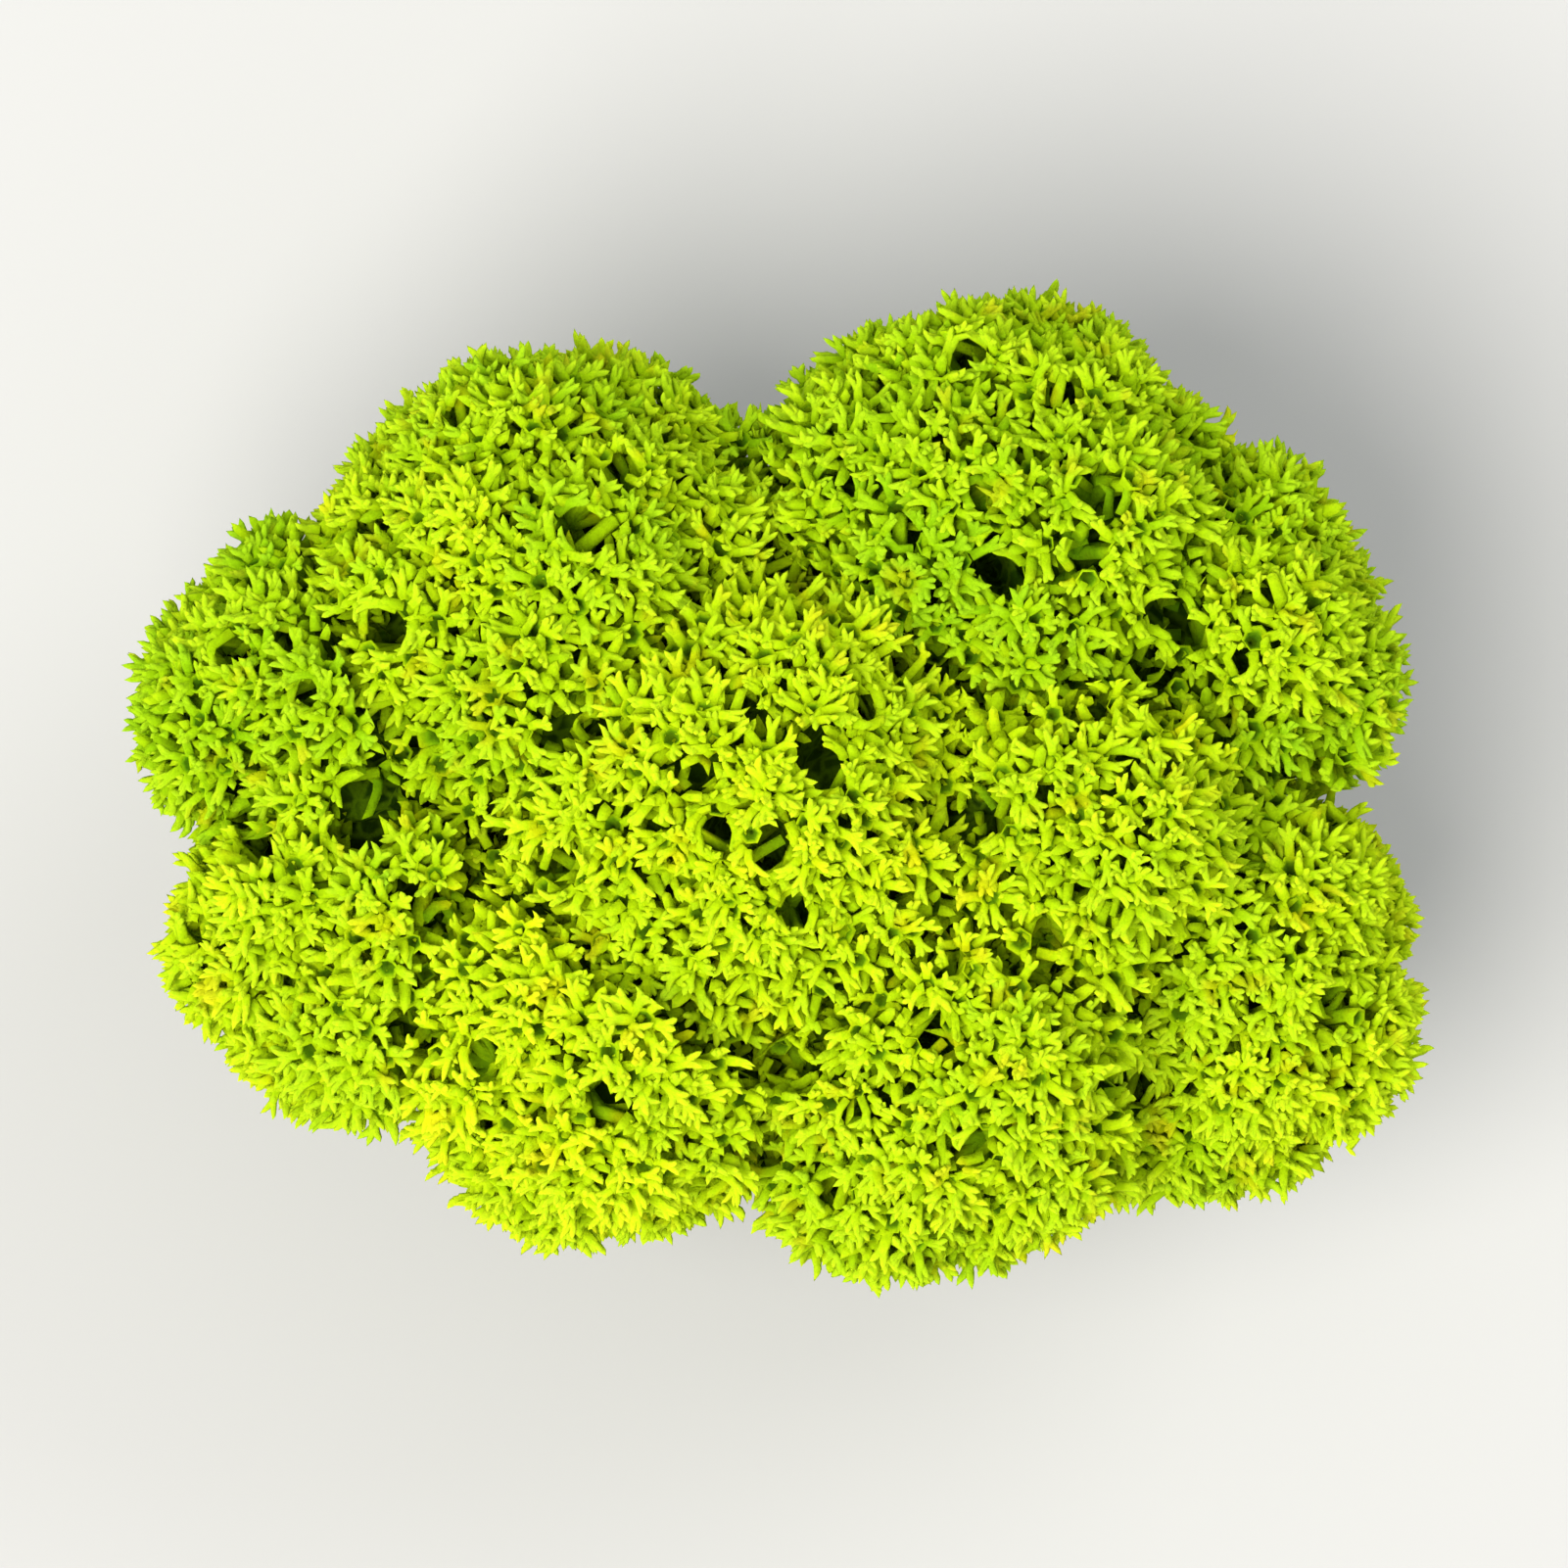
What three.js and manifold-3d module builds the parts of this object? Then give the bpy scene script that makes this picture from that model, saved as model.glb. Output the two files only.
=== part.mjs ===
// A preserved clump of star-tipped reindeer lichen (Cladonia stellaris), dyed lime green.
// Ten separate tufts stand packed side by side on their own cut stems. Each tuft is one solid:
// a forked stem, a small lumpy core and the star-shaped whorls of branch tips that stand out of it.
// Units are millimetres, +Z is up and the surface that the clump stands on is z = 0.
import * as THREE from 'three';
import { ConvexGeometry } from 'three/addons/geometries/ConvexGeometry.js';
import { mergeVertices } from 'three/addons/utils/BufferGeometryUtils.js';
import Module from 'manifold-3d';

// Driving dimensions of the whole clump
const CLUMP_HEIGHT = 34;
const EDGE_DROP = 7.5; // how much lower the outermost tufts end than the middle one
const EDGE_DISTANCE = 18; // distance from the middle at which the full drop is reached
const CROWN_LEVEL = 20; // height at which the tufts' places below are given
const FAN_DEPTH = 30; // the tufts fan out from a point this far below the surface
const TUFT_GAP = 0.32; // clear space between neighbouring tufts
const OUTLINE_CENTRE = { x: 0.27, y: 0.16 }; // middle of the finished outline, which is the origin

// Places and radii of the tufts at the crown level, seen from above
const TUFTS = [
  { name: 'tuft_middle', x: -1.0, y: -0.8, radius: 11.0, colour: 0xa9c912 },
  { name: 'tuft_middle_right', x: 8.8, y: -1.6, radius: 9.6, colour: 0xa3c410 },
  { name: 'tuft_back_left', x: -7.6, y: 6.0, radius: 10.4, colour: 0x9abd10 },
  { name: 'tuft_back_right', x: 7.8, y: 8.0, radius: 10.1, colour: 0x93b60f },
  { name: 'tuft_right', x: 14.8, y: 5.2, radius: 8.8, colour: 0x98ba0e },
  { name: 'tuft_front_right', x: 15.9, y: -6.4, radius: 9.4, colour: 0xa6bf12 },
  { name: 'tuft_front_middle', x: 5.2, y: -8.4, radius: 9.6, colour: 0xa4c611 },
  { name: 'tuft_front_left', x: -5.8, y: -7.6, radius: 9.2, colour: 0xafcb14 },
  { name: 'tuft_left_front', x: -13.8, y: -4.6, radius: 8.3, colour: 0xa5c713 },
  { name: 'tuft_left_back', x: -14.8, y: 2.6, radius: 8.3, colour: 0x8fb30d },
];

// Form of one tuft
const TOP_HEIGHT = 1.12; // height of the top over the widest level, over the tuft's radius
const UNDERSIDE_DEPTH = 1.15; // depth below the widest level, over the tuft's radius
const LOBES_ON_UNIT_TUFT = 16; // lobes round a tuft of the size below
const UNIT_TUFT_RADIUS = 8;
const LOBE_OFFSET = 0.5; // place and radius of a lobe's ball, over the tuft's radius
const LOBE_RADIUS = 0.5;
const LOBE_JITTER = 0.06;
const CORE_TAPER = 0.5; // how much narrower the core gets towards its underside

// Whorls of branch tips
const WHORL_SPACING = 3.4;
const WHORL_STANDOFF = 2.4; // from the core's surface to the ends of the tips
const WHORL_SINK = 0.7; // depth of a stalk's root in the core
const WHORL_LOWEST = 119; // degrees from the tuft's axis down to the last whorls
const STALK_RADIUS = 0.42;
const NECK_RADIUS = 0.36;
const TIP_RISE = 1.0; // height of a tip's end over its root
const TIP_THICKNESS = 0.45;
const TIP_REACH = 1.35; // distance of a tip's end from the stalk's axis
const REACH_VARIATION = 0.15; // shares of the reach and of the step between tips, and millimetres
const TURN_VARIATION = 0.15;
const RISE_VARIATION = 0.2;
const FIVE_TIP_SHARE = 0.2; // share of the whorls with five tips in place of four
const HOLE_DEPTH = 0.15; // depth of the small pit in a whorl's middle
const WHORL_CLEARANCE = 0.6; // least distance of a stalk from the neighbouring tuft's side
const CREASE_SHARE = 0.8; // whorls stop where the cell leaves less than this of the tuft's radius
const LOW_BRANCH_ANGLE = 103; // degrees from the axis, below which stalks branch from the stem
const LOW_BRANCH_SLOPE = 0.75; // rise of such a stalk over its run
const LOW_BRANCH_RADIUS = 0.55;
const LOWEST_BRANCH = 3; // least height at which a stalk leaves the stem

// Stems
const STEM_SIDES = 6;
const STEM_RADII = [0.85, 0.78, 0.74, 0.7]; // from the cut foot up to the core
const STEM_BEND = 0.8;

const CLEARING_PASSES = 3; // a point beyond two sides of a cell is brought back in turns
const GOLDEN_ANGLE = Math.PI * (3 - Math.sqrt(5));
const UP = new THREE.Vector3(0, 0, 1);
const FAN_POINT = new THREE.Vector3(0, 0, -FAN_DEPTH);

const wasm = await Module();
wasm.setup();

// A repeatable stream of numbers from 0 to 1
function seededRandom(seed) {
  let state = seed >>> 0;
  return () => {
    state = (state + 0x6d2b79f5) >>> 0;
    let mixed = Math.imul(state ^ (state >>> 15), state | 1);
    mixed ^= mixed + Math.imul(mixed ^ (mixed >>> 7), mixed | 61);
    return ((mixed ^ (mixed >>> 14)) >>> 0) / 4294967296;
  };
}

// The index-th of count directions spread evenly over a sphere, from +Z down to -Z
function spiralDirection(index, count) {
  const z = 1 - (2 * index + 1) / count;
  const across = Math.sqrt(1 - z * z);
  const turn = index * GOLDEN_ANGLE;
  return new THREE.Vector3(across * Math.cos(turn), across * Math.sin(turn), z);
}

// Sides of the wedge-shaped cell that a tuft has to itself. Every side passes through the fan point,
// and its distance to two neighbours follows from their radii.
function cellSides(tuft) {
  const rise = CROWN_LEVEL + FAN_DEPTH;
  return TUFTS.filter((other) => other !== tuft).map((other) => {
    const weight = other.x ** 2 + other.y ** 2 - tuft.x ** 2 - tuft.y ** 2;
    const offset = weight + tuft.radius ** 2 - other.radius ** 2;
    const normal = new THREE.Vector3(2 * (other.x - tuft.x) * rise, 2 * (other.y - tuft.y) * rise, -offset);
    return normal.normalize();
  });
}

// The point itself, or the point brought back sideways to the cell's sides
function keptInside(tuft, point) {
  const kept = point.clone();
  for (let pass = 0; pass < CLEARING_PASSES; pass += 1) {
    for (const normal of tuft.sides) {
      const beyond = normal.dot(kept.clone().sub(FAN_POINT)) + TUFT_GAP / 2;
      const sideways = new THREE.Vector3(normal.x, normal.y, 0);
      if (beyond > 0) kept.addScaledVector(sideways, -beyond / sideways.lengthSq());
    }
  }
  return kept;
}

// Adds the measures that follow from a tuft's place and radius
function layOut(tuft, index) {
  const random = seededRandom(101 + index);
  const away = Math.hypot(tuft.x, tuft.y) / EDGE_DISTANCE;
  const centreLevel = CLUMP_HEIGHT - EDGE_DROP * away * away - tuft.radius * TOP_HEIGHT;
  tuft.random = random;
  tuft.axis = new THREE.Vector3(tuft.x, tuft.y, CROWN_LEVEL).sub(FAN_POINT).normalize();
  tuft.centre = pointOnAxis(tuft, centreLevel);
  tuft.turn = new THREE.Quaternion().setFromUnitVectors(UP, tuft.axis);
  tuft.sides = cellSides(tuft);
  tuft.net = sphereNet(tuft);
  const lobeCount = Math.round(LOBES_ON_UNIT_TUFT * (tuft.radius / UNIT_TUFT_RADIUS) ** 2);
  tuft.lobes = Array.from({ length: lobeCount }, (_, lobe) => {
    const place = spiralDirection(lobe, lobeCount).multiplyScalar(LOBE_OFFSET);
    const shift = () => (random() - 0.5) * 2 * LOBE_JITTER;
    return place.add(new THREE.Vector3(shift(), shift(), shift()));
  });
}

// The point at a given height on the line from the fan point through the tuft
function pointOnAxis(tuft, level) {
  return tuft.axis.clone().multiplyScalar((level + FAN_DEPTH) / tuft.axis.z).add(FAN_POINT);
}

// Distance from a tuft's centre to its lobed surface, for a unit tuft. It is the farthest hit of
// the ray on the lobes' balls.
function lobedDistance(tuft, direction) {
  let farthest = LOBE_RADIUS;
  for (const lobe of tuft.lobes) {
    const along = direction.dot(lobe);
    const inside = along * along - lobe.lengthSq() + LOBE_RADIUS * LOBE_RADIUS;
    if (inside > 0) farthest = Math.max(farthest, along + Math.sqrt(inside));
  }
  return farthest;
}

// Offset from the tuft's centre to its outer surface, in a direction of the unit tuft
function surfaceOffset(tuft, direction) {
  const offset = direction.clone().multiplyScalar(lobedDistance(tuft, direction) * tuft.radius);
  offset.z *= direction.z > 0 ? TOP_HEIGHT : UNDERSIDE_DEPTH;
  return offset.applyQuaternion(tuft.turn);
}

// The largest part of an offset from the centre that stays in the cell, less the given clearance
function shareInside(tuft, offset, clearance) {
  const centreFromFan = tuft.centre.clone().sub(FAN_POINT);
  let share = 1;
  for (const normal of tuft.sides) {
    const speed = normal.dot(offset);
    if (speed > 0) share = Math.min(share, (-clearance - normal.dot(centreFromFan)) / speed);
  }
  return share;
}

// A point of the core, whose surface lies one standoff below the ends of the tips
function corePoint(tuft, direction) {
  const narrowing = 1 + CORE_TAPER * Math.min(0, direction.z);
  const narrowed = new THREE.Vector3(direction.x * narrowing, direction.y * narrowing, direction.z);
  const offset = surfaceOffset(tuft, narrowed);
  const length = offset.length();
  offset.multiplyScalar((length - WHORL_STANDOFF) / length);
  return offset.multiplyScalar(shareInside(tuft, offset, TUFT_GAP / 2)).add(tuft.centre);
}

// A solid from corner points and triangles
function solidFrom(points, triangles) {
  const vertProperties = new Float32Array(points.flatMap((point) => [point.x, point.y, point.z]));
  const triVerts = new Uint32Array(triangles.flat());
  return new wasm.Manifold(new wasm.Mesh({ numProp: 3, vertProperties, triVerts }));
}

// Directions and triangles of an even net over a sphere, with one triangle for each whorl
function sphereNet(tuft) {
  const areaOfEach = (Math.sqrt(3) / 2) * WHORL_SPACING ** 2;
  const whorlCount = (4 * Math.PI * tuft.radius ** 2) / areaOfEach;
  const cornerCount = Math.round(whorlCount / 2) + 2;
  const spiral = Array.from({ length: cornerCount }, (_, index) => spiralDirection(index, cornerCount));
  const hull = new ConvexGeometry(spiral);
  hull.deleteAttribute('normal');
  const merged = mergeVertices(hull, 1e-4);
  const corners = merged.getAttribute('position');
  const index = merged.getIndex().array;
  return {
    directions: spiral.map((_, corner) => new THREE.Vector3().fromBufferAttribute(corners, corner)),
    triangles: Array.from({ length: index.length / 3 }, (_, face) => {
      return [...index.slice(3 * face, 3 * face + 3)];
    }),
  };
}

function coreSolid(tuft) {
  const points = tuft.net.directions.map((direction) => corePoint(tuft, direction));
  return solidFrom(points, tuft.net.triangles);
}

// A ring of points round an axis, each brought back into the tuft's cell
function ringPoints(tuft, centre, axis, radius, sideCount, startAngle) {
  const across = new THREE.Vector3(axis.z, 0, -axis.x).normalize();
  const beside = axis.clone().cross(across);
  return Array.from({ length: sideCount }, (_, side) => {
    const angle = startAngle + (side * Math.PI * 2) / sideCount;
    const point = centre.clone().addScaledVector(across, radius * Math.cos(angle));
    point.addScaledVector(beside, radius * Math.sin(angle));
    return keptInside(tuft, point);
  });
}

// A whorl: a stalk with four or five pointed tips round a small pit. Tips beside a crease are bent
// clear of the neighbouring tuft.
function whorlSolid(tuft, root, rootRadius, end) {
  const { random } = tuft;
  const around = (spread) => spread * (2 * random() - 1);
  const tipCount = random() < FIVE_TIP_SHARE ? 5 : 4;
  const axis = end.clone().sub(root).normalize();
  const spin = random() * Math.PI * 2;
  const below = (distance) => end.clone().addScaledVector(axis, -distance);
  const neck = below(TIP_RISE);
  const shoulder = below(TIP_RISE - TIP_THICKNESS);
  const tips = Array.from({ length: tipCount }, (_, step) => {
    const angle = spin + ((step + 0.5 + around(TURN_VARIATION)) * Math.PI * 2) / tipCount;
    const reach = TIP_REACH * (1 + around(REACH_VARIATION));
    return ringPoints(tuft, below(around(RISE_VARIATION)), axis, reach, 1, angle)[0];
  });
  const points = [
    ...ringPoints(tuft, root, axis, rootRadius, tipCount, spin),
    ...ringPoints(tuft, neck, axis, NECK_RADIUS, tipCount, spin),
    ...ringPoints(tuft, shoulder, axis, NECK_RADIUS, tipCount, spin),
    ...tips,
    root,
    below(TIP_RISE - TIP_THICKNESS + HOLE_DEPTH),
  ];
  const rootCentre = 4 * tipCount;
  const pit = rootCentre + 1;
  const triangles = [];
  for (let step = 0; step < tipCount; step += 1) {
    const next = (step + 1) % tipCount;
    const [low, lowNext] = [tipCount + step, tipCount + next];
    const [high, highNext] = [2 * tipCount + step, 2 * tipCount + next];
    const tip = 3 * tipCount + step;
    triangles.push([step, next, lowNext], [step, lowNext, low], [rootCentre, next, step]);
    triangles.push([low, lowNext, tip], [low, tip, high], [lowNext, highNext, tip]);
    triangles.push([high, tip, pit], [tip, highNext, pit]);
  }
  return solidFrom(points, triangles);
}

// The whorls of a tuft, one over each triangle of its core. Those on its underside stand on long
// stalks that rise from the stem.
function whorlSolids(tuft) {
  const lowest = Math.cos(THREE.MathUtils.degToRad(WHORL_LOWEST));
  const fromStem = Math.cos(THREE.MathUtils.degToRad(LOW_BRANCH_ANGLE));
  const solids = [];
  for (const triangle of tuft.net.triangles) {
    const corners = triangle.map((corner) => tuft.net.directions[corner]);
    const direction = corners[0].clone().add(corners[1]).add(corners[2]).normalize();
    const offset = surfaceOffset(tuft, direction);
    const share = shareInside(tuft, offset, TUFT_GAP / 2 + WHORL_CLEARANCE);
    if (direction.z < lowest || share < CREASE_SHARE) continue;
    const end = offset.multiplyScalar(share).add(tuft.centre);
    if (direction.z < fromStem) {
      const run = tuft.axis.clone().cross(end.clone().sub(tuft.centre)).length();
      const level = Math.max(end.z - LOW_BRANCH_SLOPE * run, LOWEST_BRANCH);
      solids.push(whorlSolid(tuft, pointOnAxis(tuft, level), LOW_BRANCH_RADIUS, end));
    } else {
      const root = new THREE.Vector3();
      for (const corner of corners) root.addScaledVector(corePoint(tuft, corner), 1 / 3);
      root.addScaledVector(tuft.centre.clone().sub(root).normalize(), WHORL_SINK);
      solids.push(whorlSolid(tuft, root, STALK_RADIUS, end));
    }
  }
  return solids;
}

// The bent stem, from its flat cut foot up into the core
function stemSolid(tuft) {
  const steps = STEM_RADII.length - 1;
  const bendAngle = tuft.random() * Math.PI * 2;
  const points = STEM_RADII.flatMap((radius, step) => {
    const centre = pointOnAxis(tuft, (tuft.centre.z * step) / steps);
    const bend = STEM_BEND * Math.sin((Math.PI * step) / steps);
    centre.x += bend * Math.cos(bendAngle);
    centre.y += bend * Math.sin(bendAngle);
    return ringPoints(tuft, centre, UP, radius, STEM_SIDES, 0);
  });
  const triangles = [];
  for (let side = 0; side < STEM_SIDES; side += 1) {
    const next = (side + 1) % STEM_SIDES;
    for (let step = 0; step < steps; step += 1) {
      const [low, high] = [step * STEM_SIDES, (step + 1) * STEM_SIDES];
      triangles.push([low + side, low + next, high + next], [low + side, high + next, high + side]);
    }
  }
  for (let side = 1; side < STEM_SIDES - 1; side += 1) {
    const last = steps * STEM_SIDES;
    triangles.push([0, side + 1, side], [last, last + side, last + side + 1]);
  }
  return solidFrom(points, triangles);
}

// One tuft as a mesh
function tuftMesh(tuft) {
  let solid = coreSolid(tuft);
  for (const piece of [stemSolid(tuft), ...whorlSolids(tuft)]) solid = solid.add(piece);
  const { vertProperties, triVerts } = solid.getMesh();
  const geometry = new THREE.BufferGeometry();
  geometry.setAttribute('position', new THREE.BufferAttribute(vertProperties, 3));
  geometry.setIndex(new THREE.BufferAttribute(triVerts, 1));
  geometry.computeVertexNormals();
  const material = new THREE.MeshStandardMaterial({ color: tuft.colour, roughness: 0.95, metalness: 0 });
  const mesh = new THREE.Mesh(geometry, material);
  mesh.name = tuft.name;
  return mesh;
}

const group = new THREE.Group();
group.name = 'lichen_clump';
group.position.set(-OUTLINE_CENTRE.x, -OUTLINE_CENTRE.y, 0);
TUFTS.forEach(layOut);
for (const tuft of TUFTS) group.add(tuftMesh(tuft));

export default group;
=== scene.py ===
"""A preserved clump of star-tipped reindeer lichen, dyed lime green, seen from above on a pale floor.

Ten tufts grow from bundles of cut strands through forked branches up to star-shaped whorls of
fine tips. Each tuft takes the place of its plainer solid. Lengths are in millimetres until a mesh
is made. A tuft's generator of random numbers is seeded, so every run makes the same clump.
"""
import math
from collections import namedtuple
from types import SimpleNamespace

import bpy
import numpy as np
from mathutils import Matrix, Vector


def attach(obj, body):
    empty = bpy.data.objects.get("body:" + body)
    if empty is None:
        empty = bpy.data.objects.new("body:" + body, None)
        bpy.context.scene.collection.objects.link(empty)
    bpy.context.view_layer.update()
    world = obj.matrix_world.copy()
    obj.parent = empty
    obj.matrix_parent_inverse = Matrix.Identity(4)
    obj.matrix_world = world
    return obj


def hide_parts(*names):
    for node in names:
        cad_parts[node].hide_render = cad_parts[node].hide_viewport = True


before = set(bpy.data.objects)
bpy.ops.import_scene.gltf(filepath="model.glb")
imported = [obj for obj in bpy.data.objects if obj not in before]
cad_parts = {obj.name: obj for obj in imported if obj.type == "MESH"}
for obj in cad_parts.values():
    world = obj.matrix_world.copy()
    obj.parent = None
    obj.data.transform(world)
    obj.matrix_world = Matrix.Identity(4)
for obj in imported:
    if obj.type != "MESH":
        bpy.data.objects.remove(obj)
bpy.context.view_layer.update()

MM = 0.001

# ---------------------------------------------------------------- camera
# It looks almost straight down, leaning a little to the left of the clump.
CAMERA_LEAN = math.radians(3.4)
CAMERA_TURN = math.radians(2.0)  # towards the front
CAMERA_DISTANCE = 620.0
CAMERA_LENS = 400.0
CAMERA_AIM = (0.0, 0.0, 24.0)


def make_camera():
    data = bpy.data.cameras.new("camera")
    data.lens, data.sensor_width = CAMERA_LENS, 36.0
    data.clip_start, data.clip_end = 0.01, 10.0
    camera = bpy.data.objects.new("camera", data)
    bpy.context.scene.collection.objects.link(camera)
    back = Vector((-math.sin(CAMERA_LEAN), -math.sin(CAMERA_TURN), 1.0)).normalized()
    right = (Vector((1, 0, 0)) - back * back.x).normalized()
    up = back.cross(right)
    turn = Matrix((right, up, back)).transposed().to_4x4()
    place = Vector(CAMERA_AIM) * MM + back * CAMERA_DISTANCE * MM
    camera.matrix_world = Matrix.Translation(place) @ turn
    bpy.context.scene.camera = camera


make_camera()

# ---------------------------------------------------------------- form of the clump
CLUMP_HEIGHT = 34.0
EDGE_DROP = 7.5
EDGE_DISTANCE = 18.0
CROWN_LEVEL = 20.0
FAN_DEPTH = 30.0
TUFT_GAP = 0.32
OUTLINE_CENTRE = np.array([0.27, 0.16, 0.0])
FAN_POINT = np.array([0.0, 0.0, -FAN_DEPTH])

# name, x, y, radius, tint (-1 deep green, +1 yellow)
TUFTS = [
    ("tuft_middle", -1.0, -0.8, 11.0, 0.25),
    ("tuft_middle_right", 8.8, -1.6, 9.6, 0.15),
    ("tuft_back_left", -7.6, 6.0, 10.4, -0.1),
    ("tuft_back_right", 7.8, 8.0, 10.1, -0.35),
    ("tuft_right", 14.8, 5.2, 8.8, -0.25),
    ("tuft_front_right", 15.9, -6.4, 9.4, 0.15),
    ("tuft_front_middle", 5.2, -8.4, 9.6, 0.2),
    ("tuft_front_left", -5.8, -7.6, 9.2, 0.4),
    ("tuft_left_front", -13.8, -4.6, 8.3, 0.2),
    ("tuft_left_back", -14.8, 2.6, 8.3, -0.4),
]

TOP_HEIGHT = 1.12
UNDERSIDE_DEPTH = 1.15
LOBES_ON_UNIT_TUFT = 16
UNIT_TUFT_RADIUS = 8.0
LOBE_OFFSET = 0.5
LOBE_RADIUS = 0.5
LOBE_JITTER = 0.06

# ---------------------------------------------------------------- form of the fine branches
OUTER_SPACING = 1.75
OUTER_DEPTH = 0.15
# lower layers of plain whorls: spacing, depth, brightness (painted shade, lower for the deeper
# layer), turn of the net, lowest direction
LOWER_LAYERS = [
    (1.75, 0.5, 0.92, 1.0, -0.3),
    (2.4, 1.5, 0.7, 2.1, 0.0),
]
RIM_DEPTH = 0.55  # from a whorl's tips down to the rim of its hole
LOWEST_ANGLE = math.radians(124.0)  # of a whorl, from the tuft's axis
FOLLOW_LOBE, FOLLOW_TUFT = 0.6, 0.4  # shares of the two directions in a whorl's axis
WHORL_TILT = 0.14  # at random
CREASE_SHARE = 0.62  # whorls in deeper creases between tufts are left out
LOWER_CREASE_SHARE = 0.64
PLAIN_BELOW_SHARE = 0.86  # whorls in creases stay unforked,
PLAIN_BELOW_DIRECTION = -0.12  # and so do those that face down
SIDE_CLEARANCE = 0.35
SITE_JITTER = 0.28
INTERLACE = 0.5  # how far tips may reach between those of the neighbouring tuft
WHORLS_PER_FORK = 3.6
LOBES_PER_LIMB = 3.4
LIMBS_PART = 4.2  # height from which the limbs spread
SIDE_TWIGS = 84  # on a tuft of radius 10
TWIGS_FROM = 1.3  # lowest height of a side twig's root
EXTRA_STRANDS = 6  # thin ones, on each tuft
THICK_SPREAD, THIN_SPREAD = 1.35, 2.2  # distance of the strands' feet from the tuft's axis
TORN_SHARE = 0.5  # of the thin strands, which end above the floor
ROOTED = 0.1  # how far a branch starts inside what it grows from
BEND = 0.35  # share of a branch's length over which it bends from its root's direction

# Kinds of branches: radii and shades at root and neck, steps along, sides, wander of the steps. Their
# low shades are painted shade inside the clump.
Kind = namedtuple("Kind", "root_radius neck_radius root_shade neck_shade steps sides wander")
THICK_STRAND = Kind(0.37, 0.37 * 0.95, 0.34, 0.34, 8, 7, 0.17)
THIN_STRAND = Kind(0.26, 0.26 * 0.95, 0.34, 0.34, 8, 7, 0.17)
STEM = Kind(0.43, 0.40, 0.34, 0.36, 6, 7, 0.16)
LIMB = Kind(0.40, 0.35, 0.36, 0.40, 5, 6, 0.12)
BRANCH = Kind(0.35, 0.30, 0.40, 0.46, 4, 5, 0.08)
LOWER_STALK = Kind(0.28, 0.24, 0.3, 0.6, 3, 4, 0.0)
TWIG = Kind(0.27, 0.2, 0.34, 0.48, 4, 4, 0.1)

# Rows of values along a tube, from its root to its closed end
# the lower shades towards the roots are painted shade deeper in the whorls
RAY_SHADES = np.array([[0.62, 0.80, 0.92, 0.94]])
PLAIN_RAY_RADII = np.array([[0.22, 0.22, 0.19, 0.0]])
FORKED_RAY_RADII = np.array([[0.20, 0.195, 0.165, 0.0]])
PRONG_SHADES = np.array([[0.90, 0.95, 0.99, 1.0]])
PRONG_RADII = np.array([[0.13, 0.13, 0.095, 0.0]])
CUP_LEVELS = np.array([0.0, 0.06, -0.16, -0.75])  # of the funnel's rings over its rim
# the funnel's hole is painted dark as shade
CUP_SHADES = np.array([[0.36, 0.46, 0.58, 0.76, 0.72, 0.2, 0.0]])
STALK_RADII = np.array([[0.31, 0.26, 0.27, 0.0, 0.0, 0.0, 0.0]])
FUNNEL_RADII = np.array([[0.0, 0.0, 0.0, 0.46, 0.40, 0.27, 0.0]])  # on a whorl of size 1
FOOT_LEVELS = np.array([0.8, 0.5, 0.15, 0.0, 0.0, 0.7, 0.9])
FOOT_RADII = np.array([0.8, 1.04, 1.12, 1.1, 0.6, 0.5, 0.0])  # share of the strand's radius
# the hollow inside of a cut foot is painted dark as shade
FOOT_SHADES = [0.34, 0.34, 0.34, 0.4, 0.3, 0.05, 0.0]
TWIG_PRONG_RADII = np.array([[0.17, 0.15, 0.11, 0.0]])
TWIG_PRONG_SHADES = [0.4, 0.5, 0.6, 0.66]
TWIG_PRONGS_AT = (0.2, 0.38, 0.56, 0.74)  # along the twig

# Dark pits where the net of tips stands open: their places seen from above, by size
WIDE_PITS = [
    (-7.0, 9.0), (20.2, -8.3), (1.8, 0.5), (-5.7, 11.4), (13.8, 6.2), (0.0, -2.0), (10.6, 7.9),
    (-14.8, -1.3), (-8.4, -3.0), (-14.1, 5.5), (11.3, 10.4),
]
MIDDLE_PITS = [
    (1.8, 5.5), (9.2, -5.5), (4.9, 4.0), (3.2, -5.1), (7.1, -0.8), (12.7, -10.8), (5.6, -8.6),
    (0.0, -10.4), (-12.3, -4.7), (-2.5, -1.6), (7.4, 7.6), (-10.9, -9.7), (-19.8, 4.8), (-13.0, 1.6),
    (-6.7, -11.4), (1.4, -14.3), (-18.4, -1.6), (13.4, 3.7), (-0.7, 6.9), (6.4, -12.9), (6.6, 15.4),
]
NARROW_PITS = [
    (-2.5, 0.4), (-1.7, 3.0), (1.4, -8.3), (6.3, -6.2), (0.3, -4.8), (2.5, -11.5), (11.3, 3.0),
    (-11.6, 13.3), (-13.4, -8.7), (-16.9, 3.4), (3.8, 8.6), (7.0, 10.4), (3.2, 3.0), (19.8, -1.2),
    (11.3, -4.4), (-7.4, 2.0), (16.2, 4.4), (17.3, 6.5), (9.5, 14.3),
]
PITS = [(1.25, WIDE_PITS), (1.0, MIDDLE_PITS), (0.75, NARROW_PITS)]
PIT_MATCH = 0.9  # how far a pit's site may lie from its measured place
PIT_SPACING = 4.2  # of the pits on the flanks
FLANK_BELOW = 0.45
PIT_RADIUS = 0.3
PIT_REACH = 0.9
PIT_SHIFT = 0.42  # the most that a pit bends a branch aside
PIT_DEPTH = 3.4
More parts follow.
